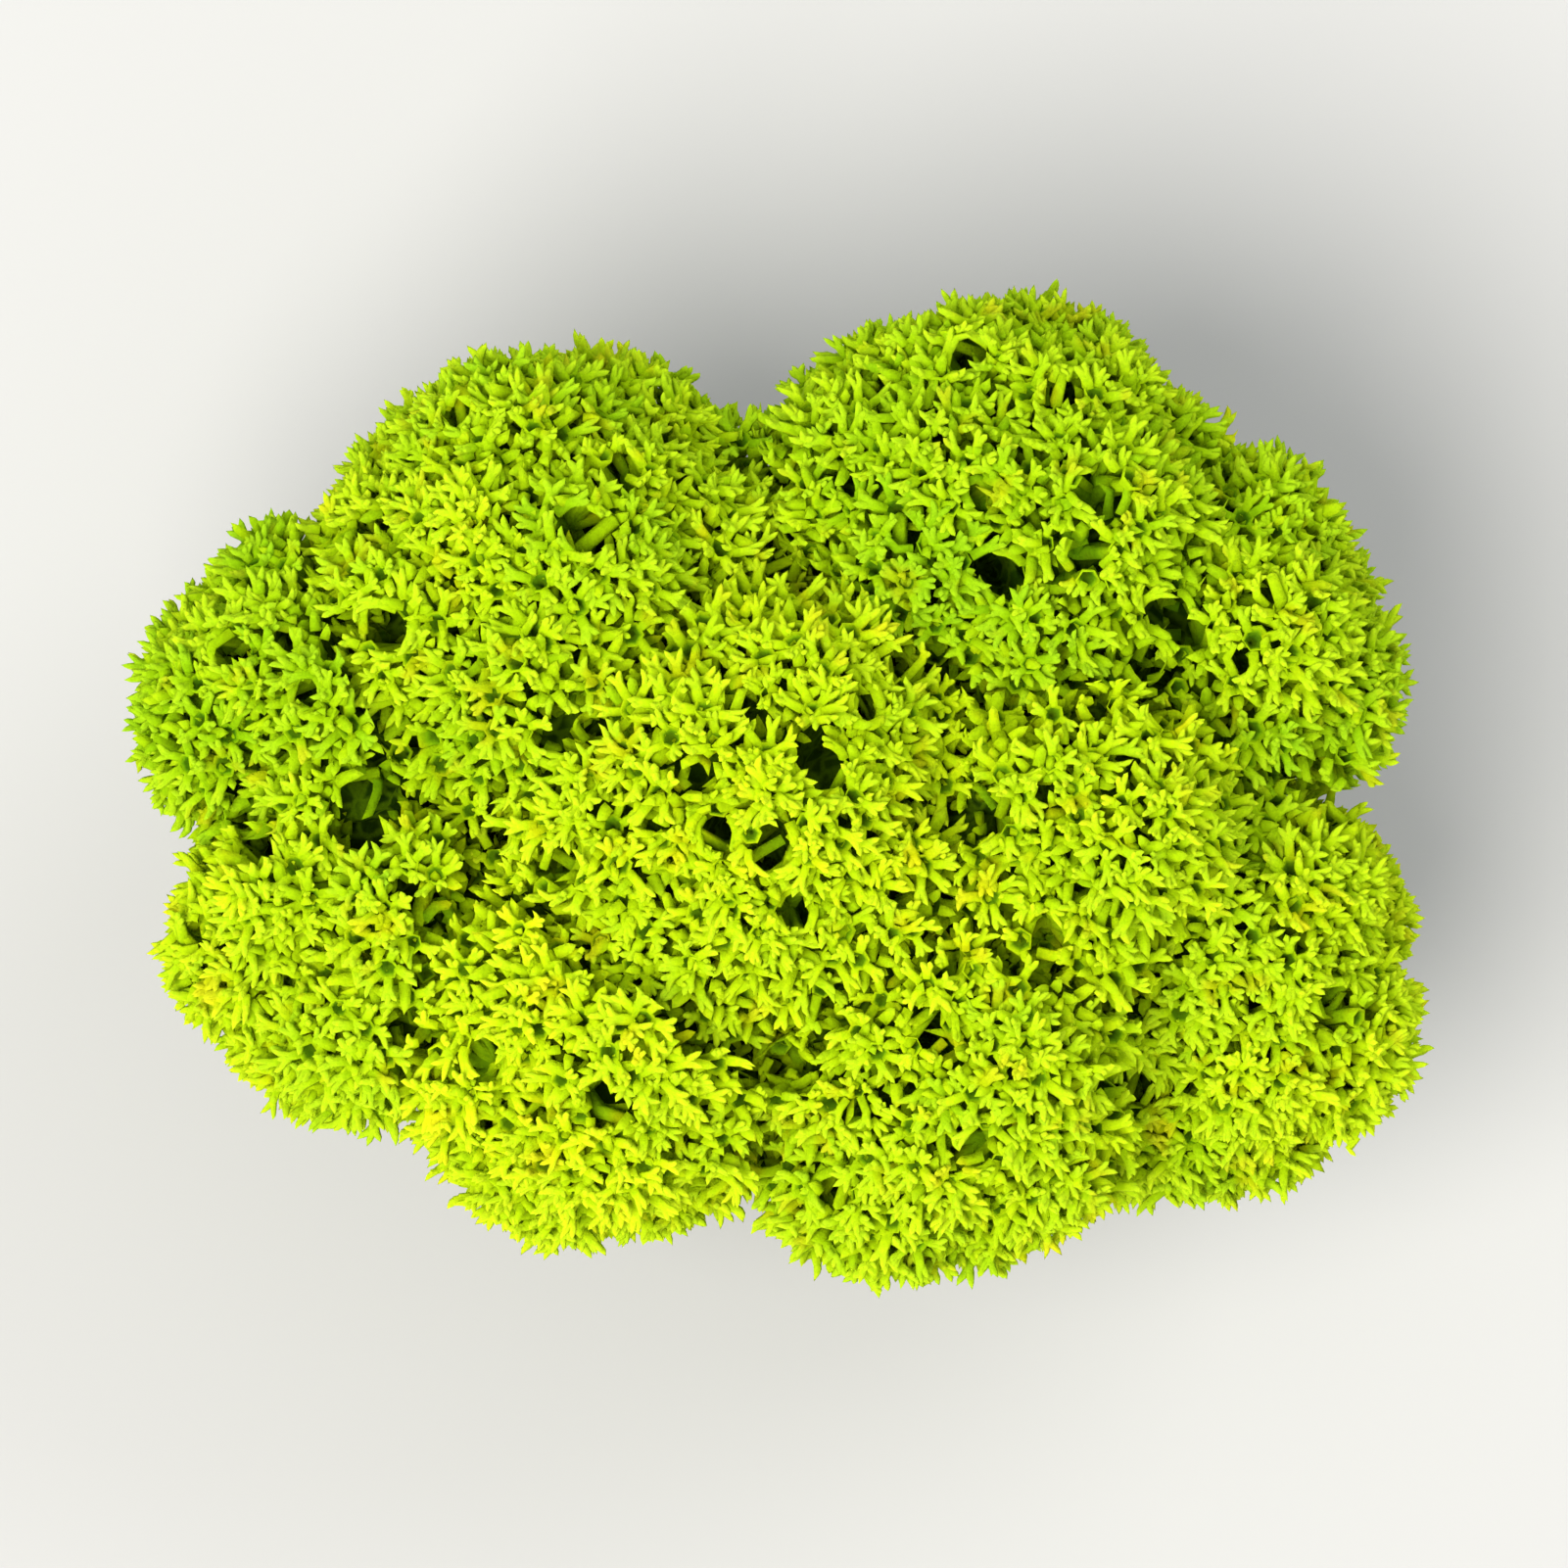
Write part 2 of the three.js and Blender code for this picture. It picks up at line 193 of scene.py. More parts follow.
PIT_OPENING = 0.44  # no ray ends nearer to the axis of a pit of size 1
# painted shade: how much darker the points down a pit are made
PIT_PAINTED_SHADE = 0.6
CORE_DEPTH = 4.0
CORE_RISE = 1.9  # how much nearer to the surface the core is on the flanks
CORE_UNDER_PIT = 2.4
CORE_RINGS, CORE_TURNS = 18, 44
CORE_LOWEST_ANGLE = math.radians(98)

GOLDEN_ANGLE = math.pi * (3 - math.sqrt(5))


def unit(vectors):
    return vectors / np.maximum(np.linalg.norm(vectors, axis=-1, keepdims=True), 1e-9)


def seeded_draws(seed, count):
    """The repeatable stream of numbers that places the lobes."""
    state, draws = seed & 0xFFFFFFFF, []
    for _ in range(count):
        state = (state + 0x6D2B79F5) & 0xFFFFFFFF
        mixed = ((state ^ (state >> 15)) * (state | 1)) & 0xFFFFFFFF
        mixed ^= (mixed + ((mixed ^ (mixed >> 7)) * (mixed | 61))) & 0xFFFFFFFF
        draws.append(((mixed ^ (mixed >> 14)) & 0xFFFFFFFF) / 4294967296)
    return np.array(draws)


def spiral(count):
    """Directions spread evenly over a sphere, from +Z down to -Z."""
    index = np.arange(count)
    z = 1 - (2 * index + 1) / count
    across = np.sqrt(1 - z * z)
    turn = index * GOLDEN_ANGLE
    return np.stack([across * np.cos(turn), across * np.sin(turn), z], 1)


def turn_to(axis):
    """The rotation that takes +Z to the axis."""
    x, y, z = axis
    cross = np.array([[0, 0, x], [0, 0, y], [-x, -y, 0]])
    return np.eye(3) + cross + cross @ cross / (1 + z)


class Tuft:
    """Places and outlines of one tuft, which also holds the triangles made for it."""

    def __init__(self, index, name, x, y, radius, tint):
        self.name, self.radius, self.tint = name, radius, tint
        self.random = np.random.default_rng(500 + index)
        away = math.hypot(x, y) / EDGE_DISTANCE
        level = CLUMP_HEIGHT - EDGE_DROP * away * away - radius * TOP_HEIGHT
        self.axis = unit(np.array([x, y, CROWN_LEVEL]) - FAN_POINT)
        self.centre = self.on_axis(level)
        self.turn = turn_to(self.axis)
        self.sides = self.cell_sides(x, y)
        count = round(LOBES_ON_UNIT_TUFT * (radius / UNIT_TUFT_RADIUS) ** 2)
        shifts = (seeded_draws(101 + index, 3 * count).reshape(count, 3) - 0.5) * 2 * LOBE_JITTER
        self.lobes = spiral(count) * LOBE_OFFSET + shifts
        self.parts = []
        self.count = 0  # points made so far
        self.pits = self.pit_axes = np.zeros((0, 3))
        self.pit_sizes = self.pit_phases = np.zeros(0)

    def on_axis(self, level):
        return self.axis * (level + FAN_DEPTH) / self.axis[2] + FAN_POINT

    def cell_sides(self, x, y):
        rise, normals = CROWN_LEVEL + FAN_DEPTH, []
        for _, ox, oy, other_radius, _ in TUFTS:
            if (ox, oy) != (x, y):
                offset = ox**2 + oy**2 - x**2 - y**2 + self.radius**2 - other_radius**2
                normals.append([2 * (ox - x) * rise, 2 * (oy - y) * rise, -offset])
        return unit(np.array(normals))

    def kept_inside(self, points):
        """The points, brought back sideways where they lie far beyond the cell's sides."""
        kept = points.copy()
        for _ in range(3):
            for normal in self.sides:
                beyond = np.maximum((kept - FAN_POINT) @ normal, 0)
                beyond = beyond - INTERLACE * np.tanh(beyond / INTERLACE)
                sideways = np.array([normal[0], normal[1], 0.0])
                kept -= beyond[..., None] * sideways / (sideways @ sideways)
        return kept

    def surface(self, directions):
        """Offsets from the centre to the lobed surface, its normals, lobes and distances to a rim.

        The last is how far the lobe stands out over the next one: near 0 where two lobes meet.
        """
        along = directions @ self.lobes.T
        inside = along**2 - (self.lobes**2).sum(1) + LOBE_RADIUS**2
        hits = np.where(inside > 0, along + np.sqrt(np.maximum(inside, 0)), LOBE_RADIUS)
        lobe = hits.argmax(1)
        ordered = np.sort(hits, 1)
        ridge = (ordered[:, -1] - ordered[:, -2]) * self.radius
        offset = directions * ordered[:, -1:]
        normal = unit(offset - self.lobes[lobe])
        stretch = np.where(directions[:, 2] > 0, TOP_HEIGHT, UNDERSIDE_DEPTH)
        offset = offset * self.radius
        offset[:, 2] *= stretch
        normal[:, 2] /= stretch
        return offset @ self.turn.T, unit(normal) @ self.turn.T, lobe, ridge

    def share_inside(self, offsets, clearance):
        """The largest part of each offset that stays in the cell."""
        start = self.centre - FAN_POINT
        share = np.ones(len(offsets))
        for normal in self.sides:
            speed = offsets @ normal
            reach = (-clearance - normal @ start) / np.where(speed > 1e-6, speed, 1)
            share = np.where(speed > 1e-6, np.minimum(share, reach), share)
        return share


def cross_axes(axes):
    """Two unit vectors across each axis."""
    helper = np.where(np.abs(axes[..., 2:3]) < 0.9, [0.0, 0.0, 1.0], [1.0, 0.0, 0.0])
    first = unit(np.cross(axes, helper))
    return first, np.cross(axes, first)


def round_pits(tuft, paths, radii):
    """Bends paths round the pits. Also returns how far each of their points lies down a pit."""
    points = paths.reshape(-1, 3).copy()
    thick = np.broadcast_to(radii, paths.shape[:2]).ravel()
    wells = np.zeros(len(points))
    sides = cross_axes(tuft.pit_axes)
    pits = zip(tuft.pits, tuft.pit_axes, tuft.pit_sizes, tuft.pit_phases, *sides)
    for pit, axis, size, phase, east, north in pits:
        near = np.nonzero(((points - pit) ** 2).sum(1) < (PIT_DEPTH + 1) ** 2)[0]
        offset = points[near] - pit
        along = offset @ axis
        across = offset - along[:, None] * axis
        apart = np.linalg.norm(across, axis=1)
        turn = np.arctan2(across @ north, across @ east)
        uneven = 1 + 0.24 * np.cos(2 * turn + phase) + 0.16 * np.cos(3 * turn + 2.3 * phase)
        radius = PIT_RADIUS * size * uneven + 0.8 * thick[near]
        reach = PIT_REACH * size + radius
        fade = np.clip((along + PIT_DEPTH) / 0.8, 0, 1) * (apart < reach)
        wide = radius + (reach - radius) * apart / reach
        shift = np.minimum(wide - apart, PIT_SHIFT) * fade
        points[near] += across / np.maximum(apart, 1e-3)[:, None] * shift[:, None]
        central = np.clip(1.6 - wide / radius, 0, 1) * (apart < reach)
        wells[near] = np.maximum(wells[near], central * np.clip((-along - 0.5) / 1.2, 0, 1))
    return points.reshape(paths.shape), wells.reshape(paths.shape[:2])


def add_tubes(tuft, paths, radii, sides, shade, tint, tangent=None):
    """Tubes along paths of equal length. Each closes in a point at its last path point."""
    number, steps = paths.shape[:2]
    if not number:
        return
    paths, wells = round_pits(tuft, paths, radii)
    # painted shade: points down a pit are darkened
    shade = shade * (1 - PIT_PAINTED_SHADE * wells)
    if tangent is None:
        tangent = unit(np.gradient(paths, axis=1))
    chord = unit(paths[:, -1] - paths[:, 0])
    reference = cross_axes(chord)[0][:, None, :]
    first = unit(np.cross(tangent, reference))
    second = np.cross(tangent, first)
    rings = steps - 1
    angle = np.arange(sides) * 2 * math.pi / sides
    ring = (np.cos(angle)[:, None] * first[:, :rings, None, :]
            + np.sin(angle)[:, None] * second[:, :rings, None, :])
    points = paths[:, :rings, None, :] + ring * radii[:, :rings, None, None]
    points = points.reshape(number, rings * sides, 3)
    points = np.concatenate([points, paths[:, -1:, :]], 1)
    values = np.concatenate([np.repeat(shade[:, :rings], sides, 1), shade[:, -1:]], 1)
    tints = np.broadcast_to(tint[:, None], values.shape)
    side = np.arange(sides)
    after = (side + 1) % sides
    triangles = []
    for step in range(rings - 1):
        low, high = step * sides, (step + 1) * sides
        triangles.append(np.stack([low + side, high + after, low + after], 1))
        triangles.append(np.stack([low + side, high + side, high + after], 1))
    last = (rings - 1) * sides
    triangles.append(np.stack([last + side, np.full(sides, rings * sides), last + after], 1))
    triangles = np.concatenate(triangles)
    per = rings * sides + 1
    starts = tuft.count + per * np.arange(number)
    triangles = (triangles[None] + starts[:, None, None]).reshape(-1, 3)
    tuft.parts.append((points.reshape(-1, 3), triangles, values.ravel(), tints.ravel()))
    tuft.count += per * number


def bezier(start, start_way, end, end_way, steps):
    """Smooth paths from start to end, leaving and arriving along the given vectors."""
    t = np.linspace(0, 1, steps)[None, :, None]
    a, b = start[:, None], (start + start_way)[:, None]
    c, d = (end - end_way)[:, None], end[:, None]
    return a * (1 - t) ** 3 + 3 * b * t * (1 - t) ** 2 + 3 * c * t**2 * (1 - t) + d * t**3


def branch_paths(root, root_way, neck, axis, length, steps):
    """Smooth paths of branches. Length sets how far they hold their first and last directions."""
    return bezier(root - root_way * ROOTED, root_way * length * BEND,
                  neck, axis * length * BEND, steps)


def grouped(points, count, random, rounds=12):
    """Sorts points into count groups of neighbours and returns each point's group."""
    count = max(1, min(count, len(points)))
    centres = points[random.choice(len(points), count, replace=False)]
    for _ in range(rounds):
        group = ((points[:, None] - centres[None]) ** 2).sum(2).argmin(1)
        for index in range(count):
            if (group == index).any():
                centres[index] = points[group == index].mean(0)
    _, group = np.unique(group, return_inverse=True)
    return group.ravel()


def means(values, group):
    total = np.zeros((group.max() + 1, values.shape[1]))
    np.add.at(total, group, values)
    return total / np.bincount(group)[:, None]


def place_pits(tuft):
    """Sets the tuft's pits: the measured ones, and others spread over its flanks."""
    sites = whorl_sites(tuft, 0.9, 0.0, 0.5, CREASE_SHARE)
    seen = sites.end - OUTLINE_CENTRE
    slant = [math.tan(CAMERA_LEAN), math.tan(CAMERA_TURN)]
    seen = seen[:, :2] + (seen[:, 2:] - CAMERA_AIM[2]) * slant
    chosen, sizes = [], []
    for size, places in PITS:
        for place in places:
            apart = np.linalg.norm(seen - place, axis=1) + np.where(sites.axis[:, 2] > 0.2, 0, 9)
            if apart.min() < PIT_MATCH:
                chosen.append(apart.argmin())
                sizes.append(size * tuft.random.uniform(0.9, 1.1))
    measured = len(chosen)
    for index in tuft.random.permutation(len(sites.end)):
        space = PIT_SPACING * tuft.random.uniform(0.75, 1.5)
        apart = np.linalg.norm(sites.end[index] - sites.end[chosen], axis=1)
        if sites.axis[index, 2] < FLANK_BELOW and apart.min(initial=np.inf) > space:
            chosen.append(index)
            sizes.append(tuft.random.uniform(0.5, 1.0))
    tuft.pits = sites.end[chosen]
    upright = np.where(np.arange(len(chosen)) < measured, 1.6, 0.4)[:, None]
    tuft.pit_axes = unit(sites.axis[chosen] + upright * [0, 0, 1.0])
    tuft.pit_sizes = np.array(sizes)
    tuft.pit_phases = tuft.random.uniform(0, 2 * math.pi, len(chosen))


def from_pits(tuft, points):
    """The distance of each point from each pit's axis, by pit and point."""
    offset = points[None] - tuft.pits[:, None]
    along = (offset * tuft.pit_axes[:, None]).sum(2, keepdims=True)
    return np.linalg.norm(offset - along * tuft.pit_axes[:, None], axis=2)


def whorl_sites(tuft, spacing, depth, net_turn, crease_share, lowest=-1.0):
    """Ends and axes of whorls spread over the tuft's lobed surface, at a depth below it."""
    random = tuft.random
    area = math.sqrt(3) / 2 * spacing**2
    count = round(4 * math.pi * (tuft.radius * 1.06) ** 2 / area)
    directions = spiral(count)
    turn = np.array([[math.cos(net_turn), -math.sin(net_turn), 0],
                     [math.sin(net_turn), math.cos(net_turn), 0], [0, 0, 1]])
    directions = directions @ turn.T
    jitter = random.uniform(-1, 1, (count, 3)) * SITE_JITTER * spacing / tuft.radius
    directions = unit(directions + jitter)
    directions = directions[directions[:, 2] > math.cos(LOWEST_ANGLE)]
    offset, normal, lobe, ridge = tuft.surface(directions)
    share = tuft.share_inside(offset, TUFT_GAP / 2 + SIDE_CLEARANCE)
    out = unit(offset)
    end = tuft.centre + offset * share[:, None] - out * depth
    axis = FOLLOW_LOBE * normal + FOLLOW_TUFT * out + random.normal(0, WHORL_TILT, out.shape)
    axis = unit(axis)
    for side in tuft.sides:  # whorls beside a neighbour turn up
        distance = -((end - FAN_POINT) @ side)
        near = np.clip(1 - (distance - 0.6) / 1.6, 0, 1)
        axis = axis - (np.maximum(axis @ side, -0.1) * near)[:, None] * side
    axis = unit(axis)
    keep = (share > crease_share) & (directions[:, 2] > lowest)
    if len(tuft.pits):
        clear = 0.3 if depth > 1 else 0.42 + 0.1 * depth
        gone = from_pits(tuft, end) < clear * tuft.pit_sizes[:, None]
        gone &= ((end[None] - tuft.pits[:, None]) ** 2).sum(2) < (depth + 1.5) ** 2
        keep &= ~gone.any(0)
    return SimpleNamespace(end=end[keep], axis=axis[keep], lobe=lobe[keep], ridge=ridge[keep],
                           share=share[keep],
                           low=directions[keep, 2] < PLAIN_BELOW_DIRECTION)


def add_whorls(tuft, end, axis, size, shade, tint, forked, open_pits=True):
    """Star-shaped whorls: rays that spread nearly level round a small hole and then curve up.

    With open_pits, rays that would end over a pit are left out.
    """
    random = tuft.random
    number = len(end)
    if not number:
        return
    first, second = cross_axes(axis)
    rays = random.choice([4, 5, 5, 5, 6] if forked else [4, 5], number)
    spin = random.uniform(0, 2 * math.pi, number)
    steps = np.arange(6)
    uneven = steps + random.uniform(-0.22, 0.22, (number, 6))
    angle = spin[:, None] + uneven * 2 * math.pi / rays[:, None]
    which, step = np.nonzero(steps[None] < rays[:, None])
    angle = angle[which, step][:, None]
    out = np.cos(angle) * first[which] + np.sin(angle) * second[which]
    reach = (size[which] * random.uniform(0.78, 1.15, len(which)))[:, None]
    if open_pits:
        apart = from_pits(tuft, end[which] + reach * out)
        kept = (apart > PIT_OPENING * tuft.pit_sizes[:, None]).all(0)
        which, out, reach = which[kept], out[kept], reach[kept]
    up, base = axis[which], (end - axis * (RIM_DEPTH * size)[:, None])[which]
    count = len(which)
    rise = (size[which] * random.uniform(0.55, 1.3, count))[:, None]
    bend = random.normal(0, 0.08, (count, 3))
    points = np.stack([
        base + 0.40 * size[which][:, None] * out - 0.12 * up,
        base + 0.62 * reach * out + 0.04 * rise * up + bend * 0.4,
        base + 0.88 * reach * out + 0.22 * rise * up + bend,
    ], 1)
    way = unit(points[:, 2] - points[:, 1])
    thick = random.uniform(0.86, 1.14, count)[:, None] * np.sqrt(size[which])[:, None]
    ray_shade = shade[which][:, None] * RAY_SHADES
    ray_tint = tint[which] + random.normal(0, 0.12, count)
    if not forked:
        tip = points[:, 2] + (0.4 * out + 0.8 * up) * 0.36 * rise
        path = np.concatenate([points, tip[:, None]], 1)
        add_tubes(tuft, path, thick * PLAIN_RAY_RADII, 3, ray_shade, ray_tint)
        return
    path = np.concatenate([points, (points[:, 2] + way * 0.12)[:, None]], 1)
    add_tubes(tuft, path, thick * FORKED_RAY_RADII, 5, ray_shade, ray_tint)
    # each ray forks at its tip
    prongs = random.choice([2, 2, 2, 3], count)
    owner, prong = np.nonzero(np.arange(3)[None] < prongs[:, None])
    across = np.cross(up, out)
    sway = (prong - (prongs[owner] - 1) / 2) * random.uniform(0.55, 1.0, len(owner))
    ways = unit(0.6 * out[owner] + random.uniform(0.3, 1.0, len(owner))[:, None] * up[owner]
                + sway[:, None] * across[owner] + random.normal(0, 0.12, (len(owner), 3)))
    length = (size[which][owner] * random.uniform(0.36, 0.62, len(owner)))[:, None]
    side = across[owner] * (np.sign(sway) * 0.04)[:, None]
    root = points[owner, 2] - way[owner] * 0.16 + side
    path = np.stack([root, root + (0.6 * way[owner] + 0.4 * ways) * (0.16 + 0.28 * length) + side,
                     root + way[owner] * 0.14 + ways * length * 0.72,
                     root + way[owner] * 0.12 + ways * length + up[owner] * length * 0.14], 1)
    tips_shade = shade[which][owner][:, None] * PRONG_SHADES
    add_tubes(tuft, path, thick[owner] * PRONG_RADII, 4, tips_shade, ray_tint[owner])


def add_cups(tuft, root, root_way, end, axis, size, shade, tint, sides):
    """Stalks from a fork up to a whorl, each opening into a small funnel with a hole painted dark as
    shade.
    """
    rim = end - axis * (RIM_DEPTH * size)[:, None]
    neck = rim - axis * (0.45 * size)[:, None]
    span = np.linalg.norm(neck - root, axis=1, keepdims=True)
    stalk = branch_paths(root, root_way, neck, axis, span, 3)
    cup = rim[:, None] + axis[:, None] * (CUP_LEVELS * size[:, None])[..., None]
    path = np.concatenate([stalk, cup], 1)
    tangent = unit(np.gradient(stalk, axis=1))
    tangent = np.concatenate([tangent, np.repeat(axis[:, None], 4, 1)], 1)
    radii = STALK_RADII + size[:, None] * FUNNEL_RADII
    add_tubes(tuft, path, radii, sides, shade[:, None] * CUP_SHADES, tint, tangent)


def add_stalks(tuft, root, root_way, neck, axis, kind, tint):
    """Curved branches from forks to what they carry, closed just beyond their ends.

    Returns their paths.
    """
    random, number = tuft.random, len(root)
    span = np.linalg.norm(neck - root, axis=1, keepdims=True)
    paths = branch_paths(root, root_way, neck, axis, span, kind.steps)
    paths[:, 1:-1] += random.normal(0, 1, (number, kind.steps - 2, 3)) * kind.wander
    closed = np.concatenate([paths, (neck + axis * 0.6 * kind.neck_radius)[:, None]], 1)
    t = np.append(np.linspace(0, 1, kind.steps), 1.0)
    radii = kind.root_radius + (kind.neck_radius - kind.root_radius) * t
    shade = kind.root_shade + (kind.neck_shade - kind.root_shade) * t
    wobble = random.uniform(0.9, 1.1, (number, 1))
    wobble = wobble * random.uniform(0.87, 1.13, (number, kind.steps + 1))
    add_tubes(tuft, closed, radii * wobble, kind.sides, np.tile(shade, (number, 1)), tint)
    return paths


def add_core(tuft):
    """A rough vault under the whorls, where the inner twigs are too dense to see through, painted
    dark as their shade.
    """
    random, rings, turns = tuft.random, CORE_RINGS, CORE_TURNS
    polar = np.linspace(0.0, CORE_LOWEST_ANGLE, rings)[:, None]
    around = np.linspace(0, 2 * math.pi, turns, endpoint=False)[None]
    directions = np.stack([np.sin(polar) * np.cos(around), np.sin(polar) * np.sin(around),
                           np.cos(polar) * np.ones_like(around)], 2).reshape(-1, 3)
    offset = tuft.surface(directions)[0]
    length = np.linalg.norm(offset, axis=1, keepdims=True)
    flank = np.clip((1 - directions[:, 2:]) / 0.75, 0, 1)
    depth = CORE_DEPTH - CORE_RISE * flank + random.uniform(-0.1, 0.7, (rings * turns, 1))
    apart = from_pits(tuft, tuft.centre + offset)
    under_pit = np.clip(1.6 - apart / tuft.pit_sizes[:, None], 0, 1).max(0)
    depth += CORE_UNDER_PIT * under_pit[:, None]
    offset *= (length - depth) / length
    offset *= tuft.share_inside(offset, -0.15)[:, None]
    points = tuft.centre + offset
    points[:turns] = points[:turns].mean(0)
    triangles = []
    for ring in range(rings - 1):
        for step in range(turns):
            a, b = ring * turns + step, ring * turns + (step + 1) % turns
            triangles += [(a, a + turns, b + turns), (a, b + turns, b)]
    triangles = np.array(triangles) + tuft.count
    # painted shade: the vault sits near the dark end of the ramp and is darkest on its flanks
    shade = random.uniform(0.0, 0.12, len(points)) * (1 - flank[:, 0]) ** 2
    tuft.parts.append((points, triangles, shade, np.full(len(points), tuft.tint)))
    tuft.count += len(points)


def add_feet(tuft, feet, radius):
    """The flat, hollow cuts at the feet of the strands, painted dark inside as shade. Their upper
    ends hide in the strands.
    """
    path = feet[:, None] + np.array([0, 0, 1.0]) * FOOT_LEVELS[:, None]
    tangent = np.tile([0, 0, -1.0], (len(feet), len(FOOT_LEVELS), 1))
    shade, tint = np.tile(FOOT_SHADES, (len(feet), 1)), np.full(len(feet), tuft.tint)
    add_tubes(tuft, path, radius[:, None] * FOOT_RADII, 9, shade, tint, tangent)


def along_paths(random, paths, count):
    """Random places on the paths."""
    starts = np.concatenate([path[:, :-1].reshape(-1, 3) for path in paths])
    ends = np.concatenate([path[:, 1:].reshape(-1, 3) for path in paths])
    length = np.linalg.norm(ends - starts, axis=1)
    chosen = random.choice(len(starts), count, p=length / length.sum())
    return starts[chosen] + (ends - starts)[chosen] * random.uniform(0, 1, (count, 1))


def add_twigs(tuft, paths):
    """Side twigs on the strands and limbs, each with a small whorl and short bare prongs."""
    random = tuft.random
    count = round(SIDE_TWIGS * tuft.radius / 10)
    root = along_paths(random, paths, 2 * count)
    order = np.where(root[:, 2] < TWIGS_FROM, 99, random.uniform(0, 1, 2 * count))
    root = root[np.argsort(order)[:count]]
    turn = random.uniform(0, 2 * math.pi, count)
    out = np.stack([np.cos(turn), np.sin(turn), np.zeros(count)], 1)
    away = (root - tuft.on_axis(8.0)) * [1, 1, 0]
    out = unit(out + 0.8 * unit(away))
    way = unit(out + random.uniform(0.1, 1.0, (count, 1)) * tuft.axis)
    length = random.uniform(1.6, 4.0, (count, 1)) * np.clip(root[:, 2:] / 6, 0.5, 1)
    end = tuft.kept_inside(root + way * length + tuft.axis * length * 0.3)
    axis = unit(way + 0.8 * tuft.axis)
    size = random.uniform(0.6, 0.95, count)
    tint = tuft.tint + random.normal(0, 0.2, count)
    # painted shade: twigs under the crown get lower shades than its tips
    bright = random.uniform(0.5, 0.75, count)
    neck = end - axis * (RIM_DEPTH * size)[:, None]
    add_stalks(tuft, root, way, neck, axis, TWIG, tint)
    add_whorls(tuft, end, axis, size, bright, tint, False)
    line = branch_paths(root, way, neck, axis, length, 11)
    for at in TWIG_PRONGS_AT:
        start = line[:, round(10 * at)]
        turn = random.uniform(0, 2 * math.pi, (count, 1))
        first, second = cross_axes(way)
        lean = np.cos(turn) * first + np.sin(turn) * second
        lean = unit(lean + random.uniform(0.2, 0.9, (count, 1)) * way
                    + random.uniform(0, 0.5, (count, 1)) * tuft.axis)
        reach = length * random.uniform(0.2, 0.55, (count, 1)) * (1.1 - at)
        bend = random.normal(0, 0.12, (count, 3)) * reach
        prong = np.stack([start, start + lean * reach * 0.5 + bend,
                          start + lean * reach * 0.9 + bend * 1.5 + tuft.axis * reach * 0.12,
                          start + lean * reach * 1.05 + bend * 1.7 + tuft.axis * reach * 0.2], 1)
        thick = random.uniform(0.8, 1.2, (count, 1)) * TWIG_PRONG_RADII
        shade = np.tile(TWIG_PRONG_SHADES, (count, 1))
        add_tubes(tuft, tuft.kept_inside(prong), thick, 3, shade, tint)


def towards(points, goal, distance, share):
    """Points moved towards a goal by a distance, or by a share of the way where that is less."""
    way = goal - points
    length = np.linalg.norm(way, axis=1, keepdims=True)
    return points + way / length * np.minimum(distance, share * length)


def add_strands(tuft, goals, ways, kind, spread, torn):
    """Strands from the floor to the goals. A share of them, torn, ends above the floor."""
    random, many, foot = tuft.random, len(goals), tuft.on_axis(0.0)
    up = np.array([0, 0, 1.0])
    off_axis = goals - foot - tuft.axis * (goals[:, 2:] / tuft.axis[2])
    turn = np.arctan2(off_axis[:, 1], off_axis[:, 0]) + random.uniform(-0.9, 0.9, many)
    out = np.stack([np.cos(turn), np.sin(turn), 0 * turn], 1)
    feet = foot + spread * random.uniform(0.6, 1.3, (many, 1)) * out
    feet[:, 2] = random.uniform(0.5, 5.0, many) * (random.uniform(0, 1, many) < torn)
    foot_radius = kind.root_radius * random.uniform(0.92, 1.08, many)
    rising = unit(up + random.normal(0, 0.14, (many, 3)))
    tint = np.full(many, tuft.tint)
    paths = add_stalks(tuft, feet + up * 0.3, rising, goals, ways, kind, tint)
    add_feet(tuft, feet, foot_radius)
    return paths


def add_lower_whorls(tuft, fork_at, ways_fork):
    """Plain whorls between and below the outer ones, on stalks from the nearest forks."""
    random = tuft.random
    for spacing, depth, level, net_turn, lowest in LOWER_LAYERS:
        low = whorl_sites(tuft, spacing, depth, net_turn, LOWER_CREASE_SHARE, lowest)
        nearest = ((low.end[:, None] - fork_at[None]) ** 2).sum(2).argmin(1)
        size = random.uniform(0.9, 1.15, len(low.end))
        tint = tuft.tint + random.normal(0, 0.15, len(low.end))
        # painted shade: darker with depth and in the creases
        bright = level - 0.3 * np.clip((1 - low.share) / 0.3, 0, 1)
        neck = low.end - low.axis * (RIM_DEPTH * size)[:, None]
        add_stalks(tuft, fork_at[nearest], ways_fork[nearest], neck, low.axis, LOWER_STALK, tint)
        add_whorls(tuft, low.end, low.axis, size, bright, tint, False, depth < 1)


